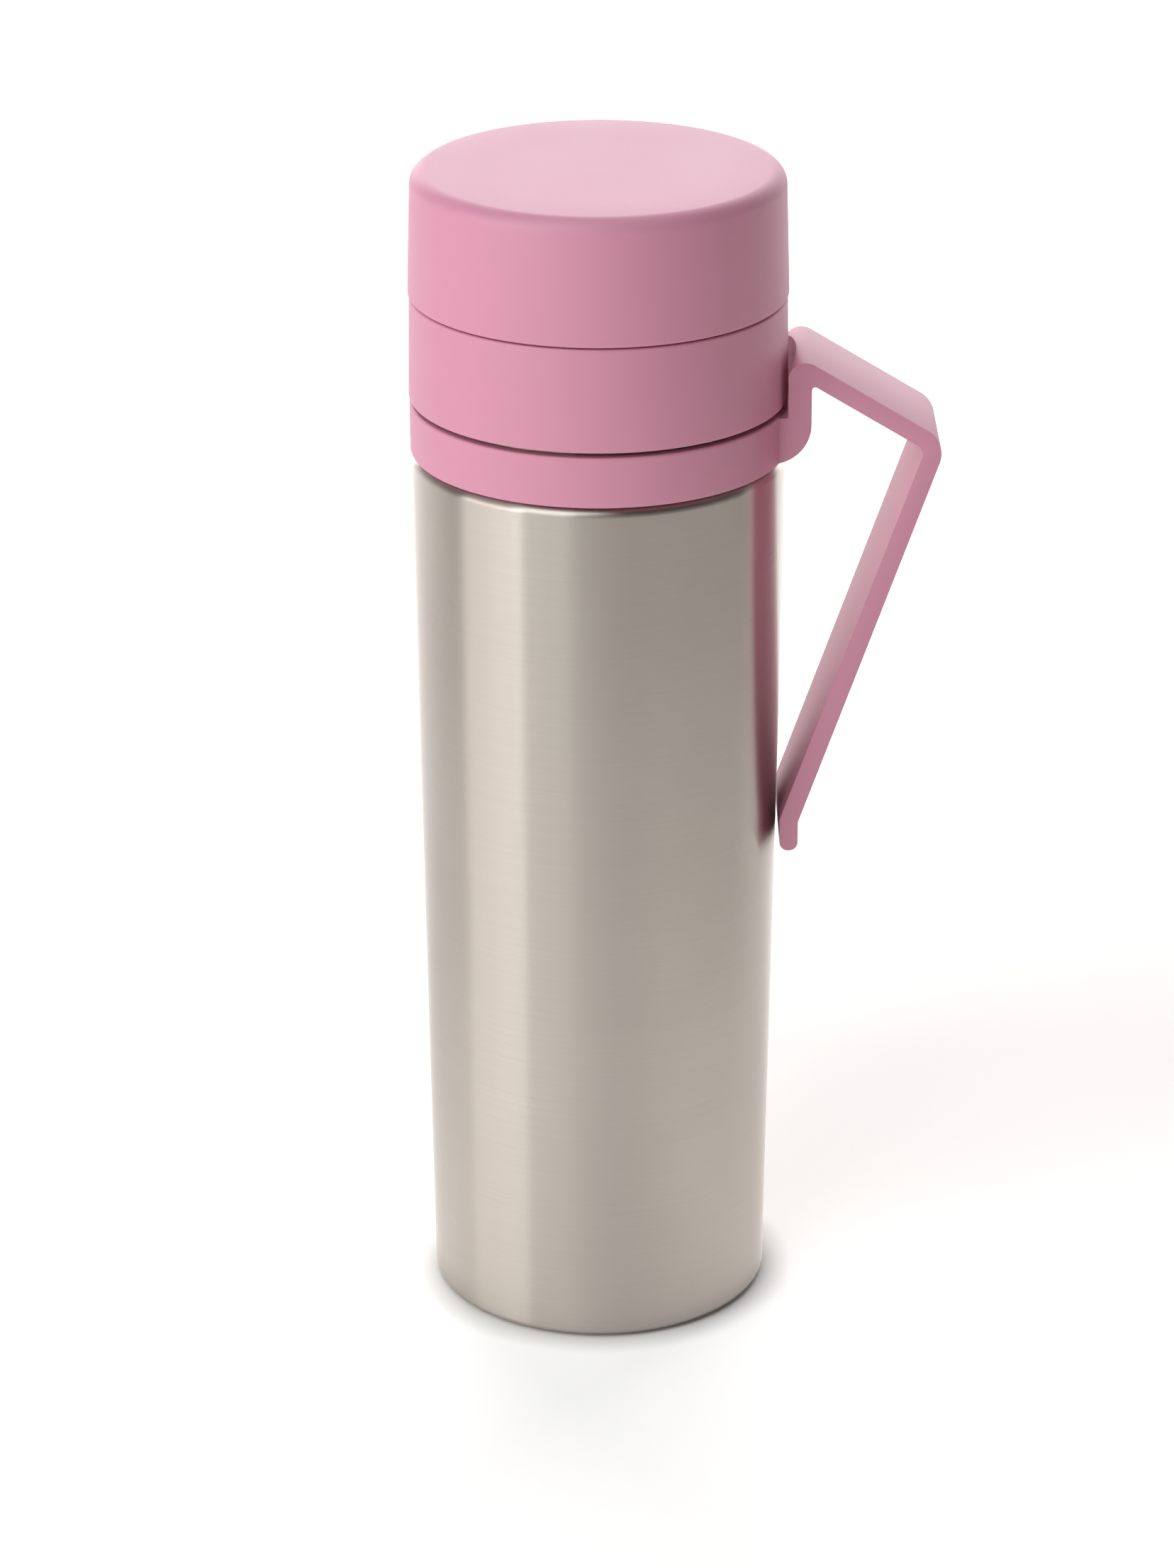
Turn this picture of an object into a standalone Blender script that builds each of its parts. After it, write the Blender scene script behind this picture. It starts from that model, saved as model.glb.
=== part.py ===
"""Vacuum-insulated steel shaker flask with a screw cap, a drinking lid and a swivelling carry handle.

Standalone Blender 4.5 script. The bottle's axis is +Z, its foot stands on z = 0 and the handle points along +X.
The dimensions below are in millimetres; mm() turns them into Blender's metres.
Every outline is a list of (radius, height) points. Each runs down the piece's outer side and up its inner side.
"""

import math

import bmesh
import bpy
from mathutils import Matrix, Vector

# ---- Driving dimensions, in millimetres ----
SEGMENTS = 36               # sides of every round piece
ARC_STEPS = 3               # segments in a quarter-round edge
GAP = 0.3                   # space kept between pieces that touch

WALL = 0.5                  # steel sheet of the shell, the liner and the base plate
BODY_R_BOTTOM = 33.85       # the body tapers from the shoulder to the foot
BODY_R_TOP = 36.5
FOOT_EDGE_R = 1.4           # rounding between the wall and the foot
FOOT_Z = 0.5                # underside of the steel, above the silicone pad's face
FOOT_HOLE_R = 30.5
BASE_PLATE_Z = 2.9          # underside of the welded plate, above the cosmetic cover
SHOULDER_Z = 178.4          # step that carries the handle's collar
SHOULDER_EDGE_R = 1.6
NECK_BAND_R = 33.7          # plain band of the neck, inside the collar
NECK_BAND_TOP = 189.8
NECK_SLOPE = 0.9            # height of the slope from the band up to the neck
NECK_R = 32.75              # neck between the threads
MOUTH_Z = 204.5
LINER_INSET = 3.7           # from the shell's outer face to the liner's outer face
LINER_FLOOR_Z = 8.0
LINER_CORNER_R = 8.0
LINER_NECK_R = 31.9
LINER_SHOULDER_DROP = 4.4   # the liner's shoulder slopes from below the shell's shoulder
LINER_THROAT_RISE = 2.6     # to above it
DIMPLE_DEPTH = 2.0          # dimple of the base plate, around the evacuation hole

COLLAR_BOTTOM = SHOULDER_Z + 0.45
COLLAR_TOP = 188.8
COLLAR_R = 36.55
COLLAR_BORE_R = 34.1

LID_BOTTOM = 189.8
LID_TOP = 210.0
LID_R_BOTTOM = 36.7
LID_R_TOP = 36.38
LID_BORE_R = 35.5
DECK_UNDERSIDE = 206.7
DECK_TOP = 208.4
INSERT_R = 35.15
INSERT_BORE_R = 34.15
SOCKET_R = 30.6             # ring under the deck that holds the mixing screen
SOCKET_BORE_R = 29.4
SOCKET_BOTTOM = 200.0
SPOUT_R = 18.2
SPOUT_BORE_R = 16.0
SPOUT_TOP = 223.0

CAP_BOTTOM = LID_TOP + 0.35
CAP_TOP = 234.7
CAP_R_BOTTOM = 36.65
CAP_R_TOP = 35.95
CAP_EDGE_R = 3.0
CAP_WALL = 1.9
SLEEVE_R = 21.4             # threaded sleeve of the cap's liner
SLEEVE_BORE_R = 19.5
SLEEVE_TOP = 228.4
PLUG_R = 15.3
PLUG_WALL = 1.4
PLUG_BOTTOM = 218.6

LID_LEAD = 9.0              # rise in one turn of the two-start lid thread
CAP_LEAD = 8.0
THREAD_STARTS = 2
THREAD_FADE_STEPS = 4
THREAD_FADED = 0.1          # height that a ridge keeps at its ends
THREAD_CLEARANCE = 0.4      # from an inner thread's crest to the wall that it runs along
SPOUT_RIDGE = 0.9
NECK_THREAD = {"foot_z": 194.2, "turns": 0.8, "root_half": 1.3, "crest_half": 0.5}
LID_THREAD = {"foot_z": 192.35, "turns": 0.8, "root_half": 0.95, "crest_half": 0.45}
SPOUT_THREAD = {"foot_z": 213.8, "turns": 0.65, "root_half": 1.15, "crest_half": 0.45}
CAP_THREAD = {"foot_z": 212.2, "turns": 0.65, "root_half": 0.8, "crest_half": 0.4}

STRAP_WIDTH = 23.2
STRAP_THICKNESS = 3.6
STRAP_FACE_R = 40.8         # flat outer face of the strap's upright
STRAP_BORE_R = 38.1         # hollow inner face of the upright, around the lid
STRAP_ROOT_R = 34.35        # depth that the strap reaches inside the collar's wall
STRAP_CORNER_R = 7.8        # lower corner of the upright
STRAP_BAR_SLOPE = 31.0      # fall of the top bar, in degrees below level
STRAP_LEG_SLOPE = 19.2      # lean of the long leg, in degrees from upright
STRAP_KNEE = (67.05, 183.35)  # sharp outer corner between the bar and the leg
STRAP_KNEE_R = 5.6
STRAP_TOE_BOTTOM = 97.9
STRAP_TOE_R = 39.4          # outer face of the upright toe

COLOURS = {
    "steel": ((0.62, 0.60, 0.57), 0.30, 1.0),
    "copper": ((0.80, 0.45, 0.32), 0.25, 1.0),
    "getter": ((0.30, 0.30, 0.32), 0.55, 1.0),
    "pink": ((0.74, 0.33, 0.46), 0.45, 0.0),
    "natural": ((0.86, 0.85, 0.82), 0.40, 0.0),
    "silicone": ((0.80, 0.80, 0.80), 0.60, 0.0),
    "foam": ((0.90, 0.89, 0.85), 0.90, 0.0),
    "foot": ((0.03, 0.03, 0.03), 0.70, 0.0),
}


def mm(value):
    return value * 0.001


def clear_scene():
    for obj in list(bpy.data.objects):
        bpy.data.objects.remove(obj, do_unlink=True)


def collection(name):
    made = bpy.data.collections.new(name)
    bpy.context.scene.collection.children.link(made)
    return made


def material(name):
    colour, roughness, metallic = COLOURS[name]
    made = bpy.data.materials.get(name) or bpy.data.materials.new(name)
    made.use_nodes = True
    shader = made.node_tree.nodes["Principled BSDF"]
    shader.inputs["Base Color"].default_value = (*colour, 1.0)
    shader.inputs["Roughness"].default_value = roughness
    shader.inputs["Metallic"].default_value = metallic
    return made


def arc(centre, radius, start, end, steps=ARC_STEPS):
    """Points on an arc in the (radius, height) plane, angles in degrees from the outward direction."""
    points = []
    for i in range(steps + 1):
        angle = math.radians(start + (end - start) * i / steps)
        points.append((centre[0] + radius * math.cos(angle), centre[1] + radius * math.sin(angle)))
    return points


def body_radius(z):
    """Outer radius of the tapered wall at a height."""
    foot = FOOT_Z + FOOT_EDGE_R
    shoulder = SHOULDER_Z - SHOULDER_EDGE_R
    return BODY_R_BOTTOM + (BODY_R_TOP - BODY_R_BOTTOM) * (z - foot) / (shoulder - foot)


def finish(obj, parts, colour):
    """Puts a finished piece in the parts collection, with its material and smooth round faces."""
    for old in list(obj.users_collection):
        old.objects.unlink(obj)
    parts.objects.link(obj)
    obj.data.materials.clear()
    obj.data.materials.append(material(colour))
    obj.data.shade_smooth()
    obj.data.set_sharp_from_angle(angle=math.radians(32))
    return obj


def hide(obj, helpers):
    """Keeps a cutter or a shape that is joined to a piece out of the render."""
    for old in list(obj.users_collection):
        old.objects.unlink(obj)
    helpers.objects.link(obj)
    obj.hide_render = True
    obj.display_type = "WIRE"
    return obj


def turned(name, outline, segments=SEGMENTS):
    """A piece turned from its outline with a Screw modifier. An outline that starts on the axis is left open there."""
    mesh = bpy.data.meshes.new(name)
    on_axis = outline[0][0] == 0
    count = len(outline)
    edges = [(i, i + 1) for i in range(count - 1)]
    if not on_axis:
        edges.append((count - 1, 0))
    mesh.from_pydata([(mm(r), 0, mm(z)) for r, z in outline], edges, [])
    obj = bpy.data.objects.new(name, mesh)
    bpy.context.scene.collection.objects.link(obj)
    screw = obj.modifiers.new("turn", "SCREW")
    screw.axis = "Z"
    screw.angle = math.tau
    screw.steps = segments
    screw.render_steps = segments
    screw.use_merge_vertices = True
    screw.merge_threshold = 0.00001
    screw.use_smooth_shade = True
    return obj


def freeze(obj):
    """Replaces a mesh object's mesh by its evaluated one, so that it can be cut or joined."""
    graph = bpy.context.evaluated_depsgraph_get()
    mesh = bpy.data.meshes.new_from_object(obj.evaluated_get(graph))
    obj.modifiers.clear()
    obj.data = mesh
    return obj


def curve_to_mesh(curve):
    """A closed mesh object in place of a curve object, with the curve's caps welded to its sides."""
    graph = bpy.context.evaluated_depsgraph_get()
    mesh = bpy.data.meshes.new_from_object(curve.evaluated_get(graph))
    shape = bmesh.new()
    shape.from_mesh(mesh)
    bmesh.ops.remove_doubles(shape, verts=shape.verts, dist=1e-7)
    bmesh.ops.recalc_face_normals(shape, faces=shape.faces)
    shape.to_mesh(mesh)
    shape.free()
    made = bpy.data.objects.new(curve.name, mesh)
    made.matrix_world = curve.matrix_world
    bpy.context.scene.collection.objects.link(made)
    bpy.data.objects.remove(curve, do_unlink=True)
    return made


def boolean(obj, other, operation):
    modifier = obj.modifiers.new(operation.lower(), "BOOLEAN")
    modifier.operation = operation
    modifier.solver = "EXACT"
    modifier.object = other


def thread_ridges(name, helpers, wall_r, crest_r, foot_z, lead, turns, root_half, crest_half):
    """Ridges of a two-start right-hand thread. They stand on a round wall and fade into it at both ends.

    crest_r is above wall_r on an outer thread and below it on an inner one. root_half and crest_half are
    half of a ridge's height at the wall and at its crest.
    """
    outward = math.copysign(1, crest_r - wall_r)
    root_r = wall_r - GAP * outward
    faded_r = wall_r - THREAD_FADED * outward
    steps = round(turns * SEGMENTS)
    shape = bmesh.new()
    for start in range(THREAD_STARTS):
        rings = []
        for step in range(steps + 1):
            turn = math.tau * (step / SEGMENTS + start / THREAD_STARTS)
            rise = foot_z + lead * step / SEGMENTS
            share = min(1, step / THREAD_FADE_STEPS, (steps - step) / THREAD_FADE_STEPS)
            tip_r = faded_r + (crest_r - faded_r) * share
            section = [(root_r, -root_half), (tip_r, -crest_half), (tip_r, crest_half), (root_r, root_half)]
            rings.append([
                shape.verts.new((mm(r * math.cos(turn)), mm(r * math.sin(turn)), mm(rise + z))) for r, z in section
            ])
        for below, above in zip(rings, rings[1:]):
            for i in range(len(below)):
                shape.faces.new((below[i - 1], below[i], above[i], above[i - 1]))
        shape.faces.new(rings[0])
        shape.faces.new(rings[-1])
    bmesh.ops.recalc_face_normals(shape, faces=shape.faces)
    mesh = bpy.data.meshes.new(name)
    shape.to_mesh(mesh)
    shape.free()
    obj = bpy.data.objects.new(name, mesh)
    bpy.context.scene.collection.objects.link(obj)
    return hide(obj, helpers)


# ---- The flask ----

def make_outer_shell(parts, helpers):
    foot_centre = (BODY_R_BOTTOM - FOOT_EDGE_R, FOOT_Z + FOOT_EDGE_R)
    edge_centre = (BODY_R_TOP - SHOULDER_EDGE_R, SHOULDER_Z - SHOULDER_EDGE_R)
    inner_slope_z = NECK_BAND_TOP - 0.2
    outline = [
        (NECK_R, MOUTH_Z - WALL - GAP),
        (NECK_R, NECK_BAND_TOP + NECK_SLOPE),
        (NECK_BAND_R, NECK_BAND_TOP),
        (NECK_BAND_R, SHOULDER_Z),
        *reversed(arc(edge_centre, SHOULDER_EDGE_R, 0, 90)),
        *reversed(arc(foot_centre, FOOT_EDGE_R, -90, 0)),
        (FOOT_HOLE_R, FOOT_Z),
        (FOOT_HOLE_R, FOOT_Z + WALL),
        *arc(foot_centre, FOOT_EDGE_R - WALL, -90, 0, 2),
        *arc(edge_centre, SHOULDER_EDGE_R - WALL, 0, 90, 2),
        (NECK_BAND_R - WALL, SHOULDER_Z - WALL),
        (NECK_BAND_R - WALL, inner_slope_z),
        (NECK_R - WALL, inner_slope_z + NECK_SLOPE),
        (NECK_R - WALL, MOUTH_Z - WALL - GAP),
    ]
    shell = freeze(turned("outer_shell", outline))
    ridges = thread_ridges("neck_thread", helpers, NECK_R, NECK_BAND_R, lead=LID_LEAD, **NECK_THREAD)
    boolean(shell, ridges, "UNION")
    return finish(shell, parts, "steel")


def make_inner_vessel(parts):
    low = LINER_FLOOR_Z + LINER_CORNER_R
    high = SHOULDER_Z - LINER_SHOULDER_DROP
    throat = SHOULDER_Z + LINER_THROAT_RISE
    low_r = body_radius(low) - LINER_INSET
    high_r = body_radius(high) - LINER_INSET
    corner = (low_r - LINER_CORNER_R, low)
    outline = [
        (0, LINER_FLOOR_Z + WALL),
        *arc(corner, LINER_CORNER_R - WALL, -90, 0),
        (high_r - WALL, high),
        (LINER_NECK_R - WALL, throat),
        (LINER_NECK_R - WALL, MOUTH_Z),
        (NECK_R, MOUTH_Z),
        (NECK_R, MOUTH_Z - WALL),
        (LINER_NECK_R, MOUTH_Z - WALL),
        (LINER_NECK_R, throat),
        (high_r, high),
        *reversed(arc(corner, LINER_CORNER_R, -90, 0)),
        (0, LINER_FLOOR_Z),
    ]
    return finish(turned("inner_vessel", outline), parts, "steel")


def make_radiation_foil(parts):
    """Thin copper wrap around the liner, inside the vacuum."""
    bottom, top = 22.0, 165.0
    spacing, foil = 0.4, 0.2
    inner = {z: body_radius(z) - LINER_INSET + spacing for z in (bottom, top)}
    outline = [
        (inner[top] + foil, top),
        (inner[bottom] + foil, bottom),
        (inner[bottom], bottom),
        (inner[top], top),
    ]
    return finish(turned("radiation_foil", outline), parts, "copper")


def make_base_plate(parts):
    """Disc welded inside the shell, with a dimple around the evacuation hole."""
    low, high = BASE_PLATE_Z, BASE_PLATE_Z + DIMPLE_DEPTH
    rim_r = body_radius(low) - WALL - GAP
    dimple_r, flat_r, hole_r = 7.6, 5.6, 1.2
    inset = 0.2
    outline = [
        (rim_r, low + WALL),
        (rim_r, low),
        (dimple_r, low),
        (flat_r, high),
        (hole_r, high),
        (hole_r, high + WALL),
        (flat_r - inset, high + WALL),
        (dimple_r - inset, low + WALL),
    ]
    return finish(turned("base_plate", outline), parts, "steel")


def make_vacuum_seal(parts):
    """Solder bead that plugs the evacuation hole from below."""
    face = BASE_PLATE_Z + DIMPLE_DEPTH - GAP
    plug_r, bead_r, crown_r = 0.9, 2.6, 2.0
    bead_height, crown_height = 0.7, 1.0
    outline = [
        (0, face + WALL + GAP),
        (plug_r, face + WALL + GAP),
        (plug_r, face),
        (bead_r, face),
        (crown_r, face - bead_height),
        (0, face - crown_height),
    ]
    return finish(turned("vacuum_seal", outline, 16), parts, "getter")


def make_getter(parts):
    """Gas-absorbing pill that keeps the vacuum, fixed on the base plate."""
    radius, height, offset = 4.5, 2.0, 16.0
    bpy.ops.mesh.primitive_cylinder_add(
        vertices=24, radius=mm(radius), depth=mm(height),
        location=(mm(offset), 0, mm(BASE_PLATE_Z + WALL + GAP + height / 2)),
    )
    pill = bpy.context.object
    pill.name = "getter"
    return finish(pill, parts, "getter")


def make_base_cover(parts):
    """Plain steel disc on the foot's flange that hides the base plate and carries the pad."""
    low = FOOT_Z + WALL + GAP
    slack = 0.2
    radius = BODY_R_BOTTOM - FOOT_EDGE_R - slack
    outline = [(0, low + WALL), (radius, low + WALL), (radius, low), (0, low)]
    return finish(turned("base_cover", outline), parts, "steel")


def make_base_pad(parts):
    """Non-slip silicone disc stuck to the cover, inside the foot's opening."""
    radius, edge = FOOT_HOLE_R - GAP, 0.3
    outline = [
        (0, FOOT_Z + WALL),
        (radius, FOOT_Z + WALL),
        (radius, edge),
        (radius - edge, 0),
        (0, 0),
    ]
    return finish(turned("base_pad", outline), parts, "foot")


# ---- The carry handle ----

def fillet(points, radii, steps=5):
    """A closed outline with each corner rounded to its own radius."""
    made = []
    count = len(points)
    for i, radius in enumerate(radii):
        corner = Vector(points[i])
        back = (Vector(points[i - 1]) - corner).normalized()
        on = (Vector(points[(i + 1) % count]) - corner).normalized()
        half = back.angle(on) / 2
        if radius == 0:
            made.append(tuple(corner))
            continue
        centre = corner + (back + on).normalized() * radius / math.sin(half)
        first = corner + back * radius / math.tan(half) - centre
        last = corner + on * radius / math.tan(half) - centre
        sweep = first.angle_signed(last)
        for step in range(steps + 1):
            turn = Matrix.Rotation(-sweep * step / steps, 2)
            made.append(tuple(centre + turn @ first))
    return made


def strap_outline():
    """The strap's side view: lower corner, upright, falling top bar, knee, long leg and upright toe."""
    fall = math.tan(math.radians(STRAP_BAR_SLOPE))
    lean = math.tan(math.radians(STRAP_LEG_SLOPE))
    bar_drop = STRAP_THICKNESS / math.cos(math.radians(STRAP_BAR_SLOPE))
    leg_inset = STRAP_THICKNESS / math.cos(math.radians(STRAP_LEG_SLOPE))
    knee_r, knee_z = STRAP_KNEE
    tuck = 0.05                                  # how far the upright's edges pass the hollow face
    edge_r = math.sqrt(STRAP_BORE_R ** 2 - (STRAP_WIDTH / 2) ** 2) - tuck
    toe_r = STRAP_TOE_R - STRAP_THICKNESS
    toe_end_r = STRAP_THICKNESS * 0.48
    notch_r, bend_r, top_r = 0.6, 2.0, 3.3       # roundings under the bar, above the toe and at the top
    root_z = COLLAR_TOP - 0.6
    heel_z = COLLAR_BOTTOM + 0.1

    def bar_z(r, drop=0.0):
        return knee_z + fall * (knee_r - r) - drop

    def leg_z(r, inset=0.0):
        return knee_z - (knee_r - inset - r) / lean

    inner_knee_r = knee_r - (bar_drop + leg_inset / lean) / (fall + 1 / lean)
    corners = {
        (STRAP_FACE_R, bar_z(STRAP_FACE_R, bar_drop)): notch_r,
        (inner_knee_r, bar_z(inner_knee_r, bar_drop)): STRAP_KNEE_R - STRAP_THICKNESS,
        (toe_r, leg_z(toe_r, leg_inset)): bend_r,
        (toe_r, STRAP_TOE_BOTTOM): toe_end_r,
        (STRAP_TOE_R, STRAP_TOE_BOTTOM): toe_end_r,
        (STRAP_TOE_R, leg_z(STRAP_TOE_R)): bend_r,
        STRAP_KNEE: STRAP_KNEE_R,
        (edge_r, bar_z(edge_r)): top_r,
        (edge_r, root_z): 0,
        (STRAP_ROOT_R, root_z): 0,
    }
    corner_centre = (STRAP_FACE_R - STRAP_CORNER_R, heel_z + STRAP_CORNER_R)
    reach = math.degrees(math.acos((STRAP_ROOT_R - corner_centre[0]) / STRAP_CORNER_R))
    lower = arc(corner_centre, STRAP_CORNER_R, -reach, 0, 6)
    return fillet([*lower, *corners], [0] * len(lower) + list(corners.values()))


def make_carry_handle(parts, helpers):
    """Collar ring and strap, moulded in one piece."""
    edge = 0.5
    ring_outline = [
        *reversed(arc((COLLAR_R - edge, COLLAR_TOP - edge), edge, 0, 90, 2)),
        *reversed(arc((COLLAR_R - edge, COLLAR_BOTTOM + edge), edge, -90, 0, 2)),
        (COLLAR_BORE_R, COLLAR_BOTTOM),
        (COLLAR_BORE_R, COLLAR_TOP),
    ]
    ring = freeze(turned("carry_handle", ring_outline))

    outline = strap_outline()
    curve = bpy.data.curves.new("strap", "CURVE")
    curve.dimensions = "2D"
    curve.fill_mode = "BOTH"
    curve.extrude = mm(STRAP_WIDTH / 2)
    spline = curve.splines.new("POLY")
    spline.points.add(len(outline) - 1)
    for point, (r, z) in zip(spline.points, outline):
        point.co = (mm(r), mm(z), 0, 1)
    spline.use_cyclic_u = True
    flat = bpy.data.objects.new("strap", curve)
    bpy.context.scene.collection.objects.link(flat)
    flat.rotation_euler = (math.radians(90), 0, 0)
    bpy.context.view_layer.update()
    strap = hide(curve_to_mesh(flat), helpers)

    low, high = COLLAR_TOP - GAP, DECK_UNDERSIDE
    clearance = turned("strap_bore", [(0, high), (STRAP_BORE_R, high), (STRAP_BORE_R, low), (0, low)], 96)
    boolean(strap, hide(clearance, helpers), "DIFFERENCE")
    boolean(ring, strap, "UNION")
    return finish(ring, parts, "pink")


# ---- The drinking lid ----

def make_lid_skirt(parts):
    """Coloured outer skirt of the lid, with the deck around the spout."""
    edge = 0.4
    deck = DECK_TOP + GAP
    clearance = 0.4
    hole_r = SPOUT_R + clearance
    outline = [
        (hole_r, LID_TOP),
        *reversed(arc((LID_R_TOP - edge, LID_TOP - edge), edge, 0, 90, 2)),
        *reversed(arc((LID_R_BOTTOM - edge, LID_BOTTOM + edge), edge, -90, 0, 2)),
        (LID_BORE_R, LID_BOTTOM),
        (LID_BORE_R, deck),
        (hole_r, deck),
    ]
    return finish(turned("lid_skirt", outline), parts, "pink")


def make_lid_insert(parts, helpers):
    """Working core of the lid: neck thread, deck, screen socket and threaded spout."""
    bottom = LID_BOTTOM + 0.8
    lip = 0.5
    outline = [
        (INSERT_R, DECK_TOP),
        (INSERT_R, bottom),
        (INSERT_BORE_R, bottom),
        (INSERT_BORE_R, DECK_UNDERSIDE),
        (SOCKET_R, DECK_UNDERSIDE),
        (SOCKET_R, SOCKET_BOTTOM),
        (SOCKET_BORE_R, SOCKET_BOTTOM),
        (SOCKET_BORE_R, DECK_UNDERSIDE),
        (SPOUT_BORE_R, DECK_UNDERSIDE),
        (SPOUT_BORE_R, SPOUT_TOP - lip),
        (SPOUT_BORE_R + lip, SPOUT_TOP),
        (SPOUT_R - lip, SPOUT_TOP),
        (SPOUT_R, SPOUT_TOP - lip),
        (SPOUT_R, DECK_TOP),
    ]
    insert = freeze(turned("lid_insert", outline))
    neck_ridges = thread_ridges(
        "lid_thread", helpers, INSERT_BORE_R, NECK_R + THREAD_CLEARANCE, lead=LID_LEAD, **LID_THREAD)
    spout_ridges = thread_ridges(
        "spout_thread", helpers, SPOUT_R, SPOUT_R + SPOUT_RIDGE, lead=CAP_LEAD, **SPOUT_THREAD)
    boolean(insert, neck_ridges, "UNION")
    boolean(insert, spout_ridges, "UNION")
    return finish(insert, parts, "natural")


def gasket(name, inner_r, outer_r, bottom, top, parts):
    """A flat silicone washer."""
    outline = [(outer_r, top), (outer_r, bottom), (inner_r, bottom), (inner_r, top)]
    return finish(turned(name, outline), parts, "silicone")


def make_neck_gasket(parts):
    inner_r, outer_r = SOCKET_R + 0.4, INSERT_BORE_R - 0.7
    return gasket("neck_gasket", inner_r, outer_r, MOUTH_Z + GAP, DECK_UNDERSIDE - GAP, parts)


def make_mixing_screen(parts, helpers):
    """Perforated cup that pushes into the socket under the lid and breaks up powder."""
    radius = SOCKET_BORE_R - GAP
    top, bottom = 205.8, 196.0
    floor, wall, chamfer = 1.2, 1.2, 0.6
    outline = [
        (0, bottom + floor),
        (radius - wall, bottom + floor),
        (radius - wall, top),
        (radius, top),
        (radius, bottom + chamfer),
        (radius - chamfer, bottom),
        (0, bottom),
    ]
    screen = freeze(turned("mixing_screen", outline))

    pitch, hole_r, field_r = 8.2, 2.5, 25.0
    rows, columns = 4, 6                         # on each side of the middle hole
    shape = bmesh.new()
    for row in range(-rows, rows + 1):
        for column in range(-columns, columns + 1):
            x = pitch * (column + row / 2)
            y = pitch * row * math.sqrt(3) / 2
            if math.hypot(x, y) > field_r:
                continue
            bmesh.ops.create_cone(
                shape, cap_ends=True, segments=6, radius1=mm(hole_r), radius2=mm(hole_r), depth=mm(4 * floor),
                matrix=Matrix.Translation((mm(x), mm(y), mm(bottom + floor / 2))),
            )
    mesh = bpy.data.meshes.new("screen_holes")
    shape.to_mesh(mesh)
    shape.free()
    holes = bpy.data.objects.new("screen_holes", mesh)
    bpy.context.scene.collection.objects.link(holes)
    boolean(screen, hide(holes, helpers), "DIFFERENCE")
    return finish(screen, parts, "natural")


# ---- The screw cap ----

def make_cap_shell(parts):
    """Coloured cap with a boss inside that the liner is welded to."""
    edge_centre = (CAP_R_TOP - CAP_EDGE_R, CAP_TOP - CAP_EDGE_R)
    lip = 0.4
    ceiling = CAP_TOP - CAP_WALL
    cove = 1.2
    boss_bottom = SLEEVE_TOP + GAP
    boss_bore_r = SLEEVE_R - 2.0
    outline = [
        (0, CAP_TOP),
        *reversed(arc(edge_centre, CAP_EDGE_R, 0, 90)),
        *reversed(arc((CAP_R_BOTTOM - lip, CAP_BOTTOM + lip), lip, -90, 0, 2)),
        (CAP_R_BOTTOM - CAP_WALL, CAP_BOTTOM),
        (CAP_R_TOP - CAP_WALL, ceiling - cove),
        (CAP_R_TOP - CAP_WALL - cove, ceiling),
        (SLEEVE_R, ceiling),
        (SLEEVE_R, boss_bottom),
        (boss_bore_r, boss_bottom),
        (boss_bore_r, ceiling),
        (0, ceiling),
    ]
    return finish(turned("cap_shell", outline), parts, "pink")


def make_cap_liner(parts, helpers):
    """Threaded sleeve with a hollow plug that enters the spout."""
    seat = SPOUT_TOP + 2.2
    sleeve_bottom = LID_TOP + 1.2
    chamfer = 0.6
    outline = [
        (0, PLUG_BOTTOM + PLUG_WALL),
        (PLUG_R - PLUG_WALL, PLUG_BOTTOM + PLUG_WALL),
        (PLUG_R - PLUG_WALL, SLEEVE_TOP),
        (SLEEVE_R, SLEEVE_TOP),
        (SLEEVE_R, sleeve_bottom),
        (SLEEVE_BORE_R, sleeve_bottom),
        (SLEEVE_BORE_R, seat),
        (PLUG_R, seat),
        (PLUG_R, PLUG_BOTTOM + chamfer),
        (PLUG_R - chamfer, PLUG_BOTTOM),
        (0, PLUG_BOTTOM),
    ]
    liner = freeze(turned("cap_liner", outline))
    ridges = thread_ridges(
        "cap_thread", helpers, SLEEVE_BORE_R, SPOUT_R + THREAD_CLEARANCE, lead=CAP_LEAD, **CAP_THREAD)
    boolean(liner, ridges, "UNION")
    return finish(liner, parts, "natural")


def make_cap_insulation(parts):
    """Foam disc in the hollow plug, under the cap's ceiling."""
    radius = PLUG_R - PLUG_WALL - GAP
    outline = [
        (0, SLEEVE_TOP),
        (radius, SLEEVE_TOP),
        (radius, PLUG_BOTTOM + PLUG_WALL + GAP),
        (0, PLUG_BOTTOM + PLUG_WALL + GAP),
    ]
    return finish(turned("cap_insulation", outline), parts, "foam")


def make_cap_gasket(parts):
    bottom, top = SPOUT_TOP + GAP, SPOUT_TOP + 1.9
    return gasket("cap_gasket", PLUG_R + GAP, SLEEVE_BORE_R - GAP, bottom, top, parts)


def main():
    clear_scene()
    parts = collection("shaker_flask")
    helpers = collection("helpers")
    make_outer_shell(parts, helpers)
    make_inner_vessel(parts)
    make_radiation_foil(parts)
    make_base_plate(parts)
    make_vacuum_seal(parts)
    make_getter(parts)
    make_base_cover(parts)
    make_base_pad(parts)
    make_carry_handle(parts, helpers)
    make_lid_skirt(parts)
    make_lid_insert(parts, helpers)
    make_neck_gasket(parts)
    make_mixing_screen(parts, helpers)
    make_cap_shell(parts)
    make_cap_liner(parts, helpers)
    make_cap_insulation(parts)
    make_cap_gasket(parts)


main()
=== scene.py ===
"""The looks of the insulated shaker flask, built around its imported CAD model.

The bottle's axis is +Z and its handle points along +X. Outlines are lists of (radius, height, rounding)
corners in millimetres, and take their outer sizes from the CAD nodes' own boxes.
"""

import math

import bmesh
import bpy
from mathutils import Matrix, Vector


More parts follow.
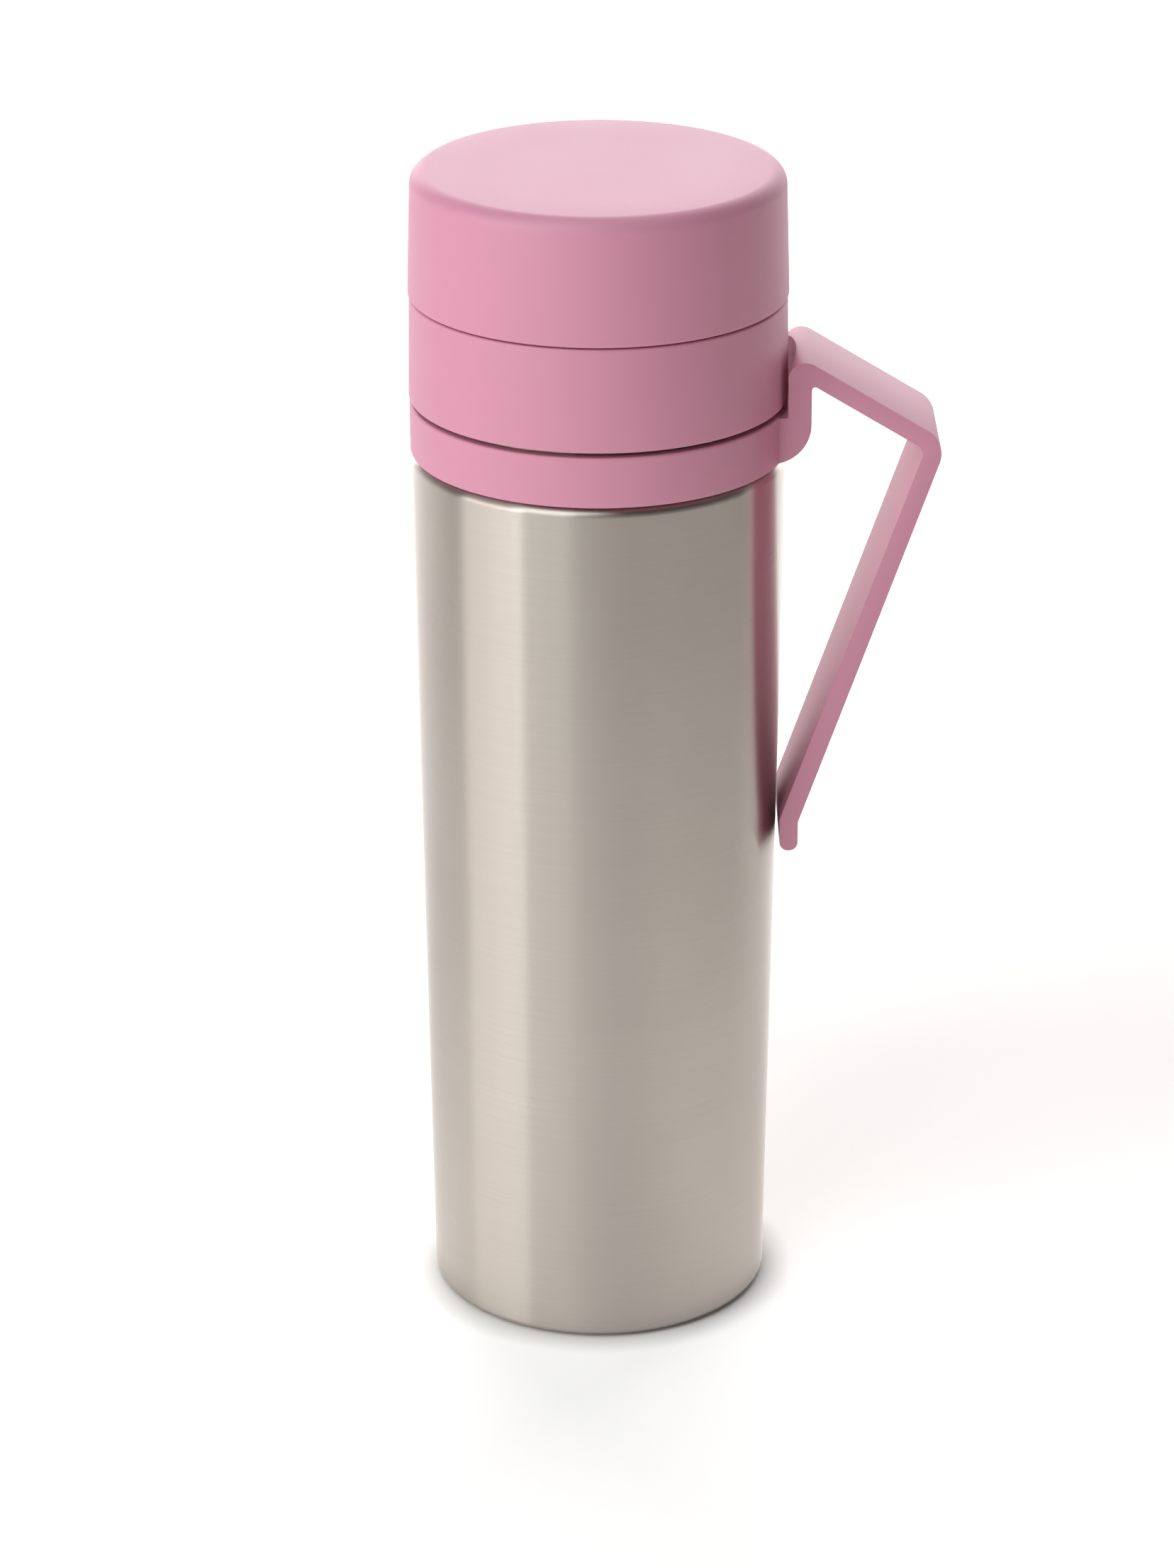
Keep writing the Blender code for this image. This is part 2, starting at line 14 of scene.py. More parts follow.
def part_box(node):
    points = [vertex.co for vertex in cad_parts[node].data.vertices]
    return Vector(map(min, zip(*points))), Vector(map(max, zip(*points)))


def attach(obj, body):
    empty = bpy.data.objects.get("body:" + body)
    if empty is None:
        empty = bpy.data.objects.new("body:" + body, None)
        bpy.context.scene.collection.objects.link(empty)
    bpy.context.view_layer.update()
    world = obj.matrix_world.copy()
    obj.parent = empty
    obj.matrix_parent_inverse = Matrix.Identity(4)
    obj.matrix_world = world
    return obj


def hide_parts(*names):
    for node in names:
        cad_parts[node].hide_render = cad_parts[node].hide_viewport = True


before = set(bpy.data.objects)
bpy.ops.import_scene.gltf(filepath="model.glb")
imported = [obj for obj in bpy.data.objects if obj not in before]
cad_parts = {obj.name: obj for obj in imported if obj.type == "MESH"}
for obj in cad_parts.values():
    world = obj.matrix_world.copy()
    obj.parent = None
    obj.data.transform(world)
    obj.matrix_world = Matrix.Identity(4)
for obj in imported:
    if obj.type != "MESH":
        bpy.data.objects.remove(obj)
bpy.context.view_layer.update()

# Turned pieces
SEGMENTS = 192              # sides of every turned piece
BORE_SEGMENTS = 384         # sides of the bore that cuts the strap free of the lid
FILLET_STEP = 9.0           # degrees between the points of a rounded corner
SHARP_ANGLE = 40            # degrees from which an edge is shaded as a sharp one

# The flask's steel, in mm
SHEET = 0.5                 # thickness of both walls
NECK_R = 32.75
NECK_BAND_R = 33.7          # the band between the neck's thread and the shoulder
LID_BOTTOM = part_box("lid_skirt")[0].z * 1000

# The handle's collar, in mm
COLLAR_BOTTOM = 178.85
COLLAR_TOP = 188.8
COLLAR_R = 36.55
COLLAR_BORE_R = 34.1

# Threads, in mm. Each has two ridges. A lead is the rise in one turn, foot_z the height at which the first
# ridge starts, and root_half and crest_half are half of a ridge's height at its root and at its crest
THREAD_STARTS = 2
THREAD_FADE = 0.12          # share of a turn in which a ridge fades into its wall
THREAD_ROOT = 0.25          # depth of a ridge's root inside the wall
THREAD_FADED = 0.08         # depth of a faded ridge's crest inside the wall
CREST_DROP = 0.22           # rounding of a crest: how far down the ridge's depth it starts,
CREST_SPREAD = 0.16         # how far out on the flank,
CREST_FLAT = 0.6            # and how much of the crest stays flat, all as shares
LID_LEAD = 9.0
CAP_LEAD = 8.0
THREADS = {
    "neck_thread": {"crest_r": NECK_BAND_R, "lead": LID_LEAD, "foot_z": 194.2, "turns": 0.8,
                    "root_half": 1.3, "crest_half": 0.5},
    "lid_thread": {"crest_r": 33.15, "lead": LID_LEAD, "foot_z": 192.35, "turns": 0.8,
                   "root_half": 0.95, "crest_half": 0.45},
    "spout_thread": {"crest_r": 19.1, "lead": CAP_LEAD, "foot_z": 213.8, "turns": 0.65,
                     "root_half": 1.15, "crest_half": 0.45},
    "cap_thread": {"crest_r": 18.6, "lead": CAP_LEAD, "foot_z": 212.2, "turns": 0.65,
                   "root_half": 0.8, "crest_half": 0.4},
}

# Colours of each material at the low and at the high end of its pattern
COLOURS = {
    "brushed_steel": ((0.504, 0.456, 0.410), (0.544, 0.493, 0.448)),
    "liner_steel": ((0.60, 0.59, 0.57), (0.68, 0.67, 0.65)),
    "pink_plastic": ((0.638, 0.254, 0.364), (0.662, 0.266, 0.380)),
    "ivory_plastic": ((0.78, 0.76, 0.72), (0.84, 0.83, 0.79)),
    "clear_silicone": ((0.72, 0.72, 0.70), (0.80, 0.80, 0.78)),
    "charcoal_silicone": ((0.028, 0.028, 0.030), (0.045, 0.045, 0.047)),
    "copper_foil": ((0.70, 0.36, 0.24), (0.88, 0.52, 0.38)),
    "solder": ((0.36, 0.36, 0.38), (0.50, 0.50, 0.52)),
    "getter_alloy": ((0.24, 0.24, 0.26), (0.36, 0.36, 0.38)),
    "insulation_foam": ((0.92, 0.91, 0.87), (0.82, 0.80, 0.75)),
}

# Camera, in metres, degrees and millimetres of lens and sensor
CAMERA_PLACE = (0.0, -0.9077, 0.4934)
CAMERA_TILT = 66.96
CAMERA_PAN = 0.149
CAMERA_ROLL = -0.115
CAMERA_LENS = 113.28
SENSOR = 36.0

# Brightness of the surroundings: direction in degrees, lower band, upper band. 0 degrees is the camera's
# side, and negative is away from the handle
WORLD_LEVELS = [
    (-180, 4.5, 1.8), (-152, 4.5, 1.1),                                     # wall behind, on the left
    (-148, 0.5, 0.0), (-91, 0.4, 0.0),
    (-88, 2.75, 0.0), (-69, 2.75, 0.0), (-67, 3.4, 0.0), (-48, 3.4, 0.0),   # panel on the left
    (-46, 0.3, 0.0), (-20, 0.2, 0.0), (98, 0.2, 0.0),                       # dark room in front
    (104, 0.5, 0.0), (138, 0.6, 0.0),
    (142, 2.6, 2.0), (164, 2.8, 1.8), (172, 4.1, 1.6), (180, 4.1, 1.5),     # wall behind, on the right
]
WORLD_LOW = (0.41, 0.51)    # sines of the elevations between which the lower band gives way to the upper one
WORLD_HIGH = (0.92, 0.98)   # and between which the upper band gives way to the light overhead
WORLD_TOP = 0.35            # brightness overhead

# Softboxes: direction and height angle in degrees, distance, width and height in metres, brightness
SOFTBOXES = {
    "key": (-35, 35, 0.6, 0.35, 0.35, 2.0),
    "high": (-30, 62, 0.8, 0.5, 0.5, 2.2),
}
SOFTBOX_AIM = (0, 0, 0.1)
SOFTBOX_TINT = (0.92, 1.0, 1.0)

# The floor's size and its own light, in metres
FLOOR_SIZE = 8
FLOOR_TINT = (0.98, 0.935, 0.915)
FLOOR_GLOW = 0.39           # glow under the object: strength and reach
FLOOR_GLOW_REACH = 0.25
FLOOR_SHADE = (0.033, 0.040)    # distances from the axis between which it starts
POOL_GLOW = 0.4             # pool of light beside the object: strength, place and reach
POOL_PLACE = (-0.39, -0.10, 0.0)
POOL_REACH = 0.15
FAR_GLOW = 1.1              # glow behind the object, and the distances behind between which it starts
FAR_START = (0.1, 0.7)


# ---- Shape helpers ----

def mm(value):
    return value * 0.001


def node_mm(node):
    """Largest radius, lowest and highest point of a round CAD node, in millimetres."""
    low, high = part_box(node)
    return high.y * 1000, low.z * 1000, high.z * 1000


def rounded(corners, step_degrees=FILLET_STEP):
    """Points of an outline whose corners (x, y, radius) are replaced by arcs of their own radius."""
    points = []
    for i, (x, y, radius) in enumerate(corners):
        corner = Vector((x, y))
        if radius <= 0:
            points.append(corner)
            continue
        back = (Vector(corners[i - 1][:2]) - corner).normalized()
        ahead = (Vector(corners[(i + 1) % len(corners)][:2]) - corner).normalized()
        half = back.angle(ahead) / 2
        centre = corner + (back + ahead).normalized() * radius / math.sin(half)
        first = corner + back * radius / math.tan(half) - centre
        last = corner + ahead * radius / math.tan(half) - centre
        sweep = first.angle_signed(last)
        steps = max(2, math.ceil(abs(math.degrees(sweep)) / step_degrees))
        for step in range(steps + 1):
            points.append(centre + Matrix.Rotation(-sweep * step / steps, 2) @ first)
    return points


def new_object(name, shape):
    """An object made from a bmesh, with its normals pointing out."""
    bmesh.ops.recalc_face_normals(shape, faces=shape.faces)
    mesh = bpy.data.meshes.new(name)
    shape.to_mesh(mesh)
    shape.free()
    obj = bpy.data.objects.new(name, mesh)
    bpy.context.scene.collection.objects.link(obj)
    return obj


def lathe(name, corners, segments=SEGMENTS):
    """A closed turned piece. A point on the axis becomes one vertex, and other outlines close up."""
    outline = rounded(corners)
    shape = bmesh.new()
    rings = []
    for point in outline:
        if point.x == 0:
            rings.append([shape.verts.new((0, 0, mm(point.y)))])
            continue
        radius, height = mm(point.x), mm(point.y)
        turns = [math.tau * i / segments for i in range(segments)]
        rings.append([
            shape.verts.new((radius * math.cos(turn), radius * math.sin(turn), height)) for turn in turns
        ])
    pairs = list(zip(rings, rings[1:]))
    if outline[0].x != 0:
        pairs.append((rings[-1], rings[0]))
    for first, second in pairs:
        for i in range(segments):
            places = ((first, i), (first, i + 1), (second, i + 1), (second, i))
            loop = [ring[j % len(ring)] for ring, j in places]
            shape.faces.new(list(dict.fromkeys(loop)))
    return new_object(name, shape)


def closed_start(corners):
    """Starts a closed outline on a straight stretch, so that all its corners can be rounded."""
    gap = 0.01      # share of that stretch left between the outline's two ends
    (x0, y0, _), (x1, y1, _) = corners[-1], corners[0]
    middle = ((x0 + x1) / 2, (y0 + y1) / 2, 0)
    return [middle, *corners, (middle[0] + (x0 - x1) * gap, middle[1] + (y0 - y1) * gap, 0)]


def ridge_section(root_r, tip_r, root_half, crest_half):
    """Points (radius, height) across a thread's ridge, with a rounded crest."""
    shoulder_r = tip_r - (tip_r - root_r) * CREST_DROP
    shoulder_half = crest_half + (root_half - crest_half) * CREST_SPREAD
    tip_half = crest_half * CREST_FLAT
    return [(root_r, -root_half), (shoulder_r, -shoulder_half), (tip_r, -tip_half), (tip_r, tip_half),
            (shoulder_r, shoulder_half), (root_r, root_half)]


def thread(name, wall_r, crest_r, lead, foot_z, turns, root_half, crest_half):
    """Ridges of a right-hand thread, which fade into the wall at both ends."""
    outward = math.copysign(1, crest_r - wall_r)
    root_r, faded_r = wall_r - THREAD_ROOT * outward, wall_r - THREAD_FADED * outward
    steps = round(turns * SEGMENTS)
    fade_steps = THREAD_FADE * SEGMENTS
    shape = bmesh.new()
    for start in range(THREAD_STARTS):
        rings = []
        for step in range(steps + 1):
            turn = math.tau * (step / SEGMENTS + start / THREAD_STARTS)
            rise = foot_z + lead * step / SEGMENTS
            share = min(1, step / fade_steps, (steps - step) / fade_steps)
            tip_r = faded_r + (crest_r - faded_r) * math.sin(share * math.pi / 2)
            rings.append([
                shape.verts.new((mm(r * math.cos(turn)), mm(r * math.sin(turn)), mm(rise + z)))
                for r, z in ridge_section(root_r, tip_r, root_half, crest_half)
            ])
        for below, above in zip(rings, rings[1:]):
            for i in range(len(below)):
                shape.faces.new((below[i - 1], below[i], above[i], above[i - 1]))
        shape.faces.new(rings[0])
        shape.faces.new(rings[-1])
    return new_object(name, shape)


def apply_modifiers(obj):
    graph = bpy.context.evaluated_depsgraph_get()
    mesh = bpy.data.meshes.new_from_object(obj.evaluated_get(graph))
    obj.modifiers.clear()
    obj.data = mesh


def combine(obj, other, operation):
    """Joins or cuts obj with another closed object, which is used up."""
    modifier = obj.modifiers.new("combine", "BOOLEAN")
    modifier.operation = operation
    modifier.solver = "EXACT"
    modifier.object = other
    apply_modifiers(obj)
    bpy.data.objects.remove(other, do_unlink=True)


def add_thread(obj, name, wall_r):
    combine(obj, thread(name, wall_r, **THREADS[name]), "UNION")


def finish_piece(obj, body, node, material, sharp=SHARP_ANGLE):
    """Smooth shading, a material, and a place on its CAD body."""
    obj.data.materials.clear()
    obj.data.materials.append(material)
    obj.data.shade_smooth()
    obj.data.set_sharp_from_angle(angle=math.radians(sharp))
    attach(obj, body)
    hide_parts(node)


# ---- Materials ----

class Tree:
    """Adds nodes to a shader tree."""

    def __init__(self, tree):
        self.tree = tree

    def put(self, value, socket):
        """Links another node's output to a socket, or sets the socket to a constant."""
        if isinstance(value, bpy.types.NodeSocket):
            self.tree.links.new(value, socket)
        else:
            socket.default_value = value

    def add(self, kind, settings=(), **inputs):
        """A node with its settings and inputs. An input goes by its name, or by its number, as in _2."""
        node = self.tree.nodes.new(kind)
        for key, value in dict(settings).items():
            setattr(node, key, value)
        for key, value in inputs.items():
            number = key[1:]
            self.put(value, node.inputs[int(number) if number.isdigit() else key.replace("_", " ")])
        return node

    def math(self, operation, *values):
        node = self.add("ShaderNodeMath", {"operation": operation})
        for value, socket in zip(values, node.inputs):
            self.put(value, socket)
        return node.outputs[0]

    def split(self, vector):
        """A vector's X, Y and Z."""
        return self.add("ShaderNodeSeparateXYZ", Vector=vector).outputs

    def span(self, value, low, high, from_low=0.3, from_high=0.7):
        """Maps a value onto a range, by default from where most of a noise lies."""
        return self.add("ShaderNodeMapRange", Value=value, From_Min=from_low, From_Max=from_high,
                        To_Min=low, To_Max=high).outputs[0]


class Look(Tree):
    """A material whose nodes end in one Principled BSDF."""

    def __init__(self, name, **sockets):
        self.name = name
        self.material = bpy.data.materials.new(name)
        self.material.use_nodes = True
        super().__init__(self.material.node_tree)
        self.shader = self.tree.nodes["Principled BSDF"]
        for key, value in sockets.items():
            self.link(value, key.replace("_", " "))

    def link(self, value, name):
        self.put(value, self.shader.inputs[name])

    def place(self):
        return self.add("ShaderNodeTexCoord").outputs["Object"]

    def noise(self, vector, scale, detail=3.0, roughness=0.5):
        return self.add("ShaderNodeTexNoise", Vector=vector, Scale=scale, Detail=detail,
                        Roughness=roughness).outputs["Fac"]

    def colour(self, share):
        """Mixes the material's two colours, which are the mix node's inputs 6 and 7."""
        low, high = COLOURS[self.name]
        mix = self.add("ShaderNodeMix", {"data_type": "RGBA"}, _0=share, _6=(*low, 1.0), _7=(*high, 1.0))
        self.link(mix.outputs[2], "Base Color")

    def bump(self, height, distance, strength):
        self.link(self.add("ShaderNodeBump", Height=height, Strength=strength, Distance=distance).outputs[0],
                  "Normal")


def brush_lines(n, around, along, detail, roughness):
    """Noise drawn out into lines around the axis. around and along are its scales in those directions."""
    x, y, z = n.split(n.place())
    radius = n.math("SQRT", n.math("ADD", n.math("MULTIPLY", x, x), n.math("MULTIPLY", y, y)))
    lines = n.add("ShaderNodeCombineXYZ", X=n.math("MULTIPLY", x, around), Y=n.math("MULTIPLY", y, around),
                  Z=n.math("MULTIPLY", n.math("ADD", z, radius), along)).outputs[0]
    return n.noise(lines, scale=1.0, detail=detail, roughness=roughness)


def brushed_steel():
    """Satin steel brushed around the axis, so that its reflections spread along the axis."""
    n = Look("brushed_steel", Metallic=1.0, Anisotropic=1.0, Anisotropic_Rotation=0.25)
    grain = brush_lines(n, around=30.0, along=5200.0, detail=3.0, roughness=0.6)
    streaks = brush_lines(n, around=18.0, along=1500.0, detail=2.0, roughness=0.5)
    smudges = n.noise(n.place(), scale=22.0, detail=2.0)
    grain_share, streak_share = 0.8, 0.2
    tone = n.math("MULTIPLY_ADD", grain, grain_share, n.math("MULTIPLY", streaks, streak_share))
    n.colour(n.span(tone, 0.0, 1.0))
    n.link(n.math("ADD", n.span(grain, 0.28, 0.33), n.span(smudges, -0.015, 0.015)), "Roughness")
    n.link(n.add("ShaderNodeTangent", {"direction_type": "RADIAL", "axis": "Z"}).outputs[0], "Tangent")
    n.bump(grain, distance=0.00001, strength=0.1)
    return n.material


def liner_steel():
    """Electropolished inner steel with a soft, even sheen."""
    n = Look("liner_steel", Metallic=1.0)
    cloud = n.noise(n.place(), scale=60.0, detail=4.0, roughness=0.6)
    n.colour(n.span(cloud, 0.0, 1.0))
    n.link(n.span(cloud, 0.20, 0.30), "Roughness")
    n.bump(n.noise(n.place(), scale=1800.0), distance=0.00001, strength=0.2)
    return n.material


def pink_plastic():
    """Matt moulded plastic: an even body colour, a very fine spark-eroded grain and faint flow marks."""
    n = Look("pink_plastic", IOR=1.5, Specular_IOR_Level=0.7)
    drawn_out = n.add("ShaderNodeMapping", Scale=(1.0, 1.0, 0.5), Vector=n.place()).outputs[0]
    flow = n.noise(drawn_out, scale=38.0, roughness=0.55)
    speckle = n.noise(n.place(), scale=2600.0, detail=2.0)
    n.colour(n.span(flow, 0.0, 1.0))
    n.link(n.math("ADD", n.span(speckle, 0.50, 0.56), n.span(flow, -0.02, 0.02)), "Roughness")
    n.bump(speckle, distance=0.00003, strength=0.35)
    return n.material


def ivory_plastic():
    """Food-grade plastic of the inner parts, slightly translucent."""
    n = Look("ivory_plastic", IOR=1.5, Subsurface_Weight=0.15, Subsurface_Scale=0.002)
    grain = n.noise(n.place(), scale=2200.0, detail=2.0)
    n.colour(n.span(n.noise(n.place(), scale=45.0), 0.0, 1.0))
    n.link(n.span(grain, 0.34, 0.44), "Roughness")
    n.bump(grain, distance=0.00002, strength=0.3)
    return n.material


def silicone(name, roughness):
    """Moulded silicone rubber with a faint dusty bloom."""
    spread = 0.06
    n = Look(name, IOR=1.42)
    grain = n.noise(n.place(), scale=3000.0, detail=2.0)
    n.colour(n.span(n.noise(n.place(), scale=120.0, detail=4.0, roughness=0.6), 0.0, 1.0))
    n.link(n.span(grain, roughness - spread, roughness + spread), "Roughness")
    n.bump(grain, distance=0.00003, strength=0.4)
    return n.material


def inner_metal(name, scale):
    """Thin or cast inner metal with a wrinkled or grainy face."""
    n = Look(name, Metallic=1.0)
    folds = n.noise(n.place(), scale, detail=5.0, roughness=0.65)
    n.colour(n.span(folds, 0.0, 1.0))
    n.link(n.span(folds, 0.22, 0.42), "Roughness")
    n.bump(folds, distance=0.0002, strength=0.6)
    return n.material


def foam():
    """Closed-cell insulating foam, whose pattern is the distance from the middle of each cell."""
    cell_edge = 0.6
    n = Look("insulation_foam", IOR=1.4)
    cells = n.add("ShaderNodeTexVoronoi", Vector=n.place(), Scale=900.0).outputs["Distance"]
    n.colour(n.span(cells, 0.0, 1.0, 0.0, cell_edge))
    n.link(n.span(cells, 0.80, 0.95, 0.0, cell_edge), "Roughness")
    n.bump(cells, distance=0.0002, strength=0.5)
    return n.material


# ---- The flask ----

def build_outer_shell(steel):
    body_r, foot_z, rim_z = node_mm("outer_shell")
    foot_r, hole_r, shoulder_z = 33.85, 30.5, COLLAR_BOTTOM - 0.45
    neck_drop, inner_drop = 0.9, 0.2        # height of the slope under the neck, and its offset inside
    slope_top = LID_BOTTOM + neck_drop
    bend, foot_bend, step_bend = 1.6, 1.4, 0.6
    corners = [
        (NECK_R, rim_z, 0), (NECK_R, slope_top, step_bend), (NECK_BAND_R, LID_BOTTOM, step_bend),
        (NECK_BAND_R, shoulder_z, 0.3), (body_r, shoulder_z, bend), (foot_r, foot_z, foot_bend),
        (hole_r, foot_z, 0.2), (hole_r, foot_z + SHEET, 0.2),
        (foot_r - SHEET, foot_z + SHEET, foot_bend - SHEET),
        (body_r - SHEET, shoulder_z - SHEET, bend - SHEET), (NECK_BAND_R - SHEET, shoulder_z - SHEET, 0.3),
        (NECK_BAND_R - SHEET, LID_BOTTOM - inner_drop, step_bend),
        (NECK_R - SHEET, slope_top - inner_drop, step_bend), (NECK_R - SHEET, rim_z, 0),
    ]
    shell = lathe("flask_shell", corners)
    add_thread(shell, "neck_thread", NECK_R)
    finish_piece(shell, "flask", "outer_shell", steel)


def build_liner(steel):
    rim_r, floor_z, mouth_z = node_mm("inner_vessel")
    low_r, high_r, neck_r = 30.4, 32.76, 31.9
    shoulder_drop, throat_rise = 4.85, 2.15     # the two bends, below and above the collar's lower edge
    high_z, neck_z = COLLAR_BOTTOM - shoulder_drop, COLLAR_BOTTOM + throat_rise
    bend, rim_bend = 8.0, 0.25
    corners = [
        (0, floor_z + SHEET, 0), (low_r - SHEET, floor_z + SHEET, bend - SHEET),
        (high_r - SHEET, high_z, bend), (neck_r - SHEET, neck_z, bend),
        (neck_r - SHEET, mouth_z, rim_bend), (rim_r, mouth_z, rim_bend),
        (rim_r, mouth_z - SHEET, 0.2), (neck_r, mouth_z - SHEET, 0.2), (neck_r, neck_z, bend),
        (high_r, high_z, bend), (low_r, floor_z, bend), (0, floor_z, 0),
    ]
    finish_piece(lathe("flask_liner", corners), "flask", "inner_vessel", steel)


def build_base_pad(rubber):
    """Silicone foot with shallow rings pressed into its face."""
    radius, low, high = node_mm("base_pad")
    ring_radii, ring_half, ring_floor_half, ring_depth = (25.0, 20.0, 15.0), 0.7, 0.4, 0.3
    corners = [(0, high, 0), (radius, high, 0.1), (radius, low, 0.35)]
    for ring_r in ring_radii:
        corners += [(ring_r + ring_half, low, 0.15), (ring_r + ring_floor_half, low + ring_depth, 0.1),
                    (ring_r - ring_floor_half, low + ring_depth, 0.1), (ring_r - ring_half, low, 0.15)]
    corners.append((0, low, 0))
    finish_piece(lathe("foot_pad", corners), "flask", "base_pad", rubber, sharp=50)


# ---- The handle ----

def strap_corners():
    """The strap's side view, with the CAD strap's slopes: lower corner, upright, bar, knee, leg and toe."""
    thickness = 3.6
    bar_slope, leg_slope = math.radians(31.0), math.radians(19.2)
    fall, lean = math.tan(bar_slope), math.tan(leg_slope)
    bar_drop, leg_inset = thickness / math.cos(bar_slope), thickness / math.cos(leg_slope)
    knee_r, knee_z, knee_round = 67.03, 183.35, 5.6
    notch_round, bend_round, toe_round, top_round = 0.6, 2.0, 1.75, 3.3
    face_r, toe_r, toe_z = 40.8, 39.4, node_mm("carry_handle")[1]
    edge_gap = 0.1      # between the collar's edges and the strap's, so that no faces coincide
    root_r, root_top, edge_r = 34.35, COLLAR_TOP - 0.6, 36.24
    lower_round, lower_steps = 7.8, 14

    def bar_z(r, drop=0.0):
        return knee_z + fall * (knee_r - r) - drop

    def leg_z(r, inset=0.0):
        return knee_z - (knee_r - inset - r) / lean

    inner_r = knee_r - (bar_drop + leg_inset / lean) / (fall + 1 / lean)
    corner_r, corner_z = face_r - lower_round, COLLAR_BOTTOM + edge_gap + lower_round
    reach = math.acos((root_r - corner_r) / lower_round)
    lower = []
    for i in range(lower_steps + 1):
        turn = -reach * (1 - i / lower_steps)
        lower.append((corner_r + lower_round * math.cos(turn), corner_z + lower_round * math.sin(turn), 0))
    return lower + [
        (face_r, bar_z(face_r, bar_drop), notch_round),
        (inner_r, bar_z(inner_r, bar_drop), knee_round - thickness),
        (toe_r - thickness, leg_z(toe_r - thickness, leg_inset), bend_round),
        (toe_r - thickness, toe_z, toe_round), (toe_r, toe_z, toe_round),
        (toe_r, leg_z(toe_r), bend_round), (knee_r, knee_z, knee_round),
        (edge_r, bar_z(edge_r), top_round), (edge_r, root_top, 0), (root_r, root_top, 0),
    ]


def build_strap():
    """The strap as a flat bar with bevelled edges, cut away where the lid stands."""
    half_width, edge, edge_steps, edge_angle = 11.6, 0.7, 4, 50
    lid_r, seat_z, above_lid = 38.1, COLLAR_TOP - 0.3, 206       # the space that the lid turns in
    shape = bmesh.new()
    outline = rounded(strap_corners(), step_degrees=4.0)
    face = shape.faces.new([shape.verts.new((mm(p.x), mm(-half_width), mm(p.y))) for p in outline])
    grown = bmesh.ops.extrude_face_region(shape, geom=[face])["geom"]
    bmesh.ops.translate(shape, vec=(0, mm(2 * half_width), 0),
                        verts=[v for v in grown if isinstance(v, bmesh.types.BMVert)])
    strap = new_object("strap", shape)
    lid_space = [(0, above_lid, 0), (lid_r, above_lid, 0), (lid_r, seat_z, 0), (0, seat_z, 0)]
    combine(strap, lathe("strap_bore", lid_space, BORE_SEGMENTS), "DIFFERENCE")
    bevel = strap.modifiers.new("edges", "BEVEL")
    bevel.width = mm(edge)
    bevel.segments = edge_steps
    bevel.limit_method = "ANGLE"
    bevel.angle_limit = math.radians(edge_angle)
    bevel.use_clamp_overlap = True
    apply_modifiers(strap)
    return strap


def build_handle(plastic):
    handle = lathe("handle", closed_start([
        (COLLAR_R, COLLAR_TOP, 0.5), (COLLAR_R, COLLAR_BOTTOM, 0.5), (COLLAR_BORE_R, COLLAR_BOTTOM, 0.3),
        (COLLAR_BORE_R, COLLAR_TOP, 0.3),
    ]))
    combine(handle, build_strap(), "UNION")
    finish_piece(handle, "handle", "carry_handle", plastic, sharp=32)


# ---- The drinking lid ----

def build_lid_skirt(plastic):
    low_r, low_z, high_z = node_mm("lid_skirt")
    top_r, bore_r, deck_z, hole_r = 36.38, 35.5, 208.7, 18.6
    corners = [
        (hole_r, high_z, 0.3), (top_r, high_z, 0.45), (low_r, low_z, 0.4), (bore_r, low_z, 0.2),
        (bore_r, deck_z, 0.3), (hole_r, deck_z, 0.2),
    ]
    finish_piece(lathe("lid_skirt_ring", closed_start(corners)), "drinking_lid",
                 "lid_skirt", plastic)


def build_lid_insert(plastic):
    spout_top = node_mm("lid_insert")[2]
    outer_r, bore_r, low_z = 35.15, 34.15, LID_BOTTOM + 0.8
    deck_low, deck_top = 206.7, 208.4
    socket_r, socket_bore, socket_z = 30.6, 29.4, 200.0     # ring that holds the mixing screen
    spout_r, spout_bore = 18.2, 16.0
    corners = [
        (outer_r, deck_top, 0.3), (outer_r, low_z, 0.3), (bore_r, low_z, 0.3), (bore_r, deck_low, 0.5),
        (socket_r, deck_low, 0.3), (socket_r, socket_z, 0.3), (socket_bore, socket_z, 0.3),
        (socket_bore, deck_low, 0.3), (spout_bore, deck_low, 0.8), (spout_bore, spout_top, 0.7),
        (spout_r, spout_top, 0.7), (spout_r, deck_top, 0.4),
    ]
    insert = lathe("lid_core", closed_start(corners))
    add_thread(insert, "lid_thread", bore_r)
    add_thread(insert, "spout_thread", spout_r)
    finish_piece(insert, "drinking_lid", "lid_insert", plastic)


def build_gasket(name, node, body, inner_r, rubber):
    outer_r, low, high = node_mm(node)
    edge = 0.5
    corners = [(outer_r, high, edge), (outer_r, low, edge), (inner_r, low, edge), (inner_r, high, edge)]
    finish_piece(lathe(name, closed_start(corners)), body, node, rubber, sharp=60)


